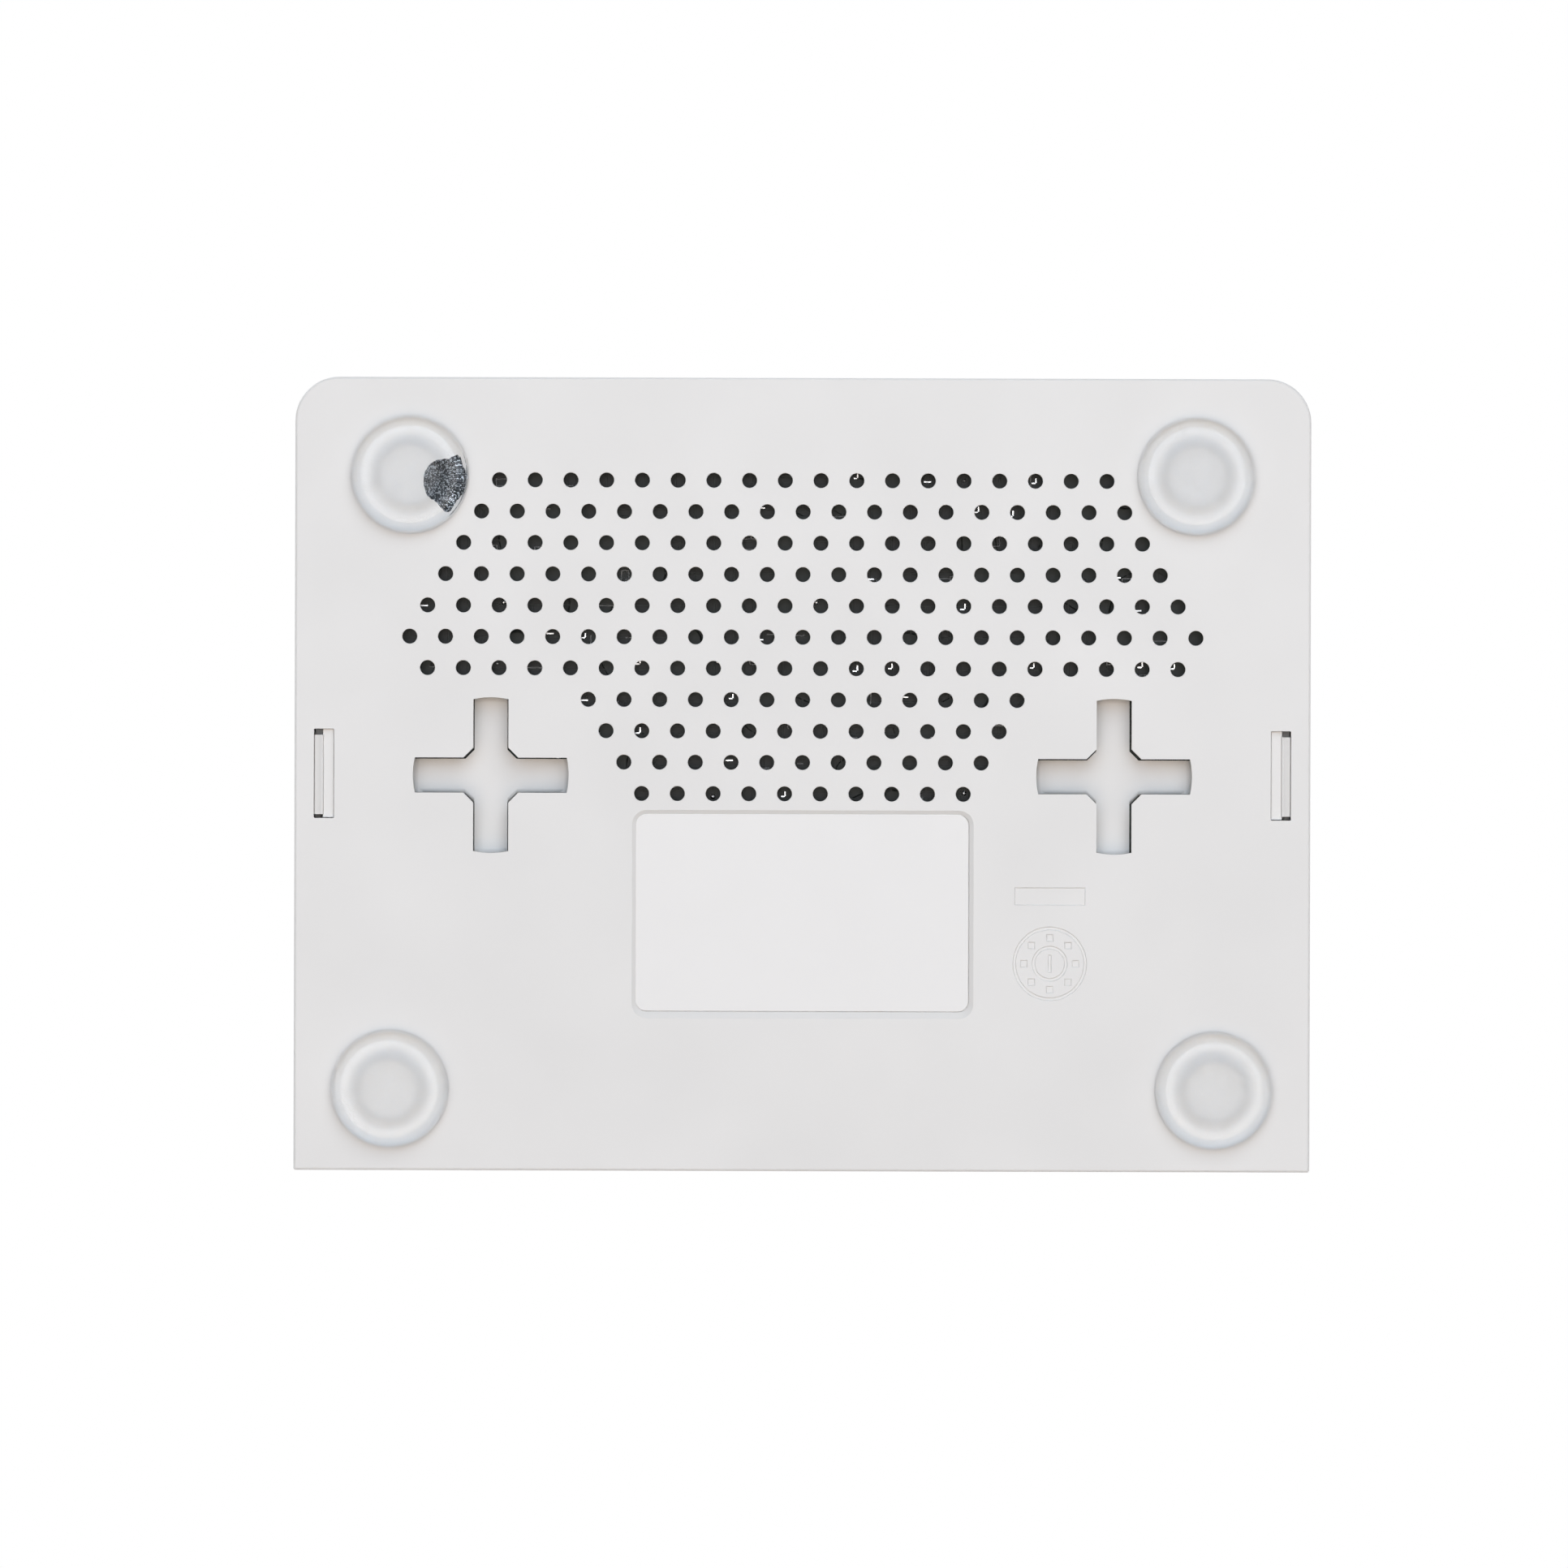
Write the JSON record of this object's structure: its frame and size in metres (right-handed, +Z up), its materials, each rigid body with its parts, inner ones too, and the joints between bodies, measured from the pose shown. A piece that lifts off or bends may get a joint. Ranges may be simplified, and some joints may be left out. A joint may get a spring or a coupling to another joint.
{
  "type": "wireless router",
  "caption": "Compact white desktop network router with a perforated base, cross-shaped wall slots, clear rubber feet, and power, network and USB sockets along one side.",
  "frame": {"origin": "middle of the case's footprint, on the surface that the four feet stand on", "axes": "+X to the right as the sockets are faced from inside the case's front, from the power inlet to the USB socket; -Y out of the socket side; +Z up"},
  "size_m": [0.1134, 0.0886, 0.028],
  "materials": {
    "case_plastic": "fine satin texture",
    "clear_rubber": "clear, glossy",
    "label_paper": "smooth matte",
    "board_laminate": "glossy solder mask",
    "black_plastic": "satin",
    "chip_epoxy": "matte moulded epoxy",
    "tin_plate": "bright tin plate",
    "gold_plate": "gold-plated",
    "screw_steel": "zinc-plated",
    "heat_sink_metal": "matte anodised",
    "thermal_pad": "matte",
    "capacitor_sleeve": "satin sleeve",
    "ferrite": "matte",
    "clear_acrylic": "polished clear",
    "led_lens": "translucent"
  },
  "bodies": {
    "base": {"antenna_left": "tin_plate", "antenna_right": "tin_plate", "base_cover": "case_plastic", "board_screw_1": "screw_steel", "board_screw_2": "screw_steel", "board_screw_3": "screw_steel", "board_screw_4": "screw_steel", "capacitor_1": "capacitor_sleeve", "capacitor_2": "capacitor_sleeve", "circuit_board": "board_laminate", "crystal": "tin_plate", "ethernet_contacts_1": "gold_plate", "ethernet_contacts_2": "gold_plate", "ethernet_contacts_3": "gold_plate", "ethernet_contacts_4": "gold_plate", "ethernet_contacts_5": "gold_plate", "ethernet_jack_1": "black_plastic", "ethernet_jack_2": "black_plastic", "ethernet_jack_3": "black_plastic", "ethernet_jack_4": "black_plastic", "ethernet_jack_5": "black_plastic", "flash_chip": "chip_epoxy", "foot_front_left": "clear_rubber", "foot_front_right": "clear_rubber", "foot_rear_left": "clear_rubber", "foot_rear_right": "clear_rubber", "heat_sink": "heat_sink_metal", "inductor": "ferrite", "lan_transformer_1": "black_plastic", "lan_transformer_2": "black_plastic", "led_1": "led_lens", "led_2": "led_lens", "led_3": "led_lens", "led_4": "led_lens", "led_5": "led_lens", "led_6": "led_lens", "led_7": "led_lens", "memory_chip": "chip_epoxy", "power_jack": "black_plastic", "power_jack_pin": "tin_plate", "processor": "chip_epoxy", "radio_chip": "chip_epoxy", "radio_shield": "tin_plate", "rating_label": "label_paper", "reset_switch_housing": "black_plastic", "thermal_pad": "thermal_pad", "usb_insert": "black_plastic", "usb_shell": "tin_plate", "wan_transformer": "black_plastic"},
    "cover": {"light_guide": "clear_acrylic", "top_cover": "case_plastic"},
    "reset_cap": {"reset_button": "case_plastic"},
    "reset_plunger": {"reset_switch_plunger": "black_plastic"}
  },
  "joints": [
    {"name": "cover_lift", "type": "slide", "parent": "base", "child": "cover", "axis": [0, 0, 1], "range_m": [0, 0.06]},
    {"name": "reset_button_press", "type": "slide", "parent": "cover", "child": "reset_cap", "axis": [0, 1, 0], "range_m": [0, 0.0005], "stiffness_N_per_m": 800},
    {"name": "reset_plunger_press", "type": "slide", "parent": "base", "child": "reset_plunger", "axis": [0, 1, 0], "range_m": [0, 0.00025]}
  ],
  "couplings": [
    {"joint": "reset_plunger_press", "follows": "reset_button_press", "ratio": 0.5}
  ]
}
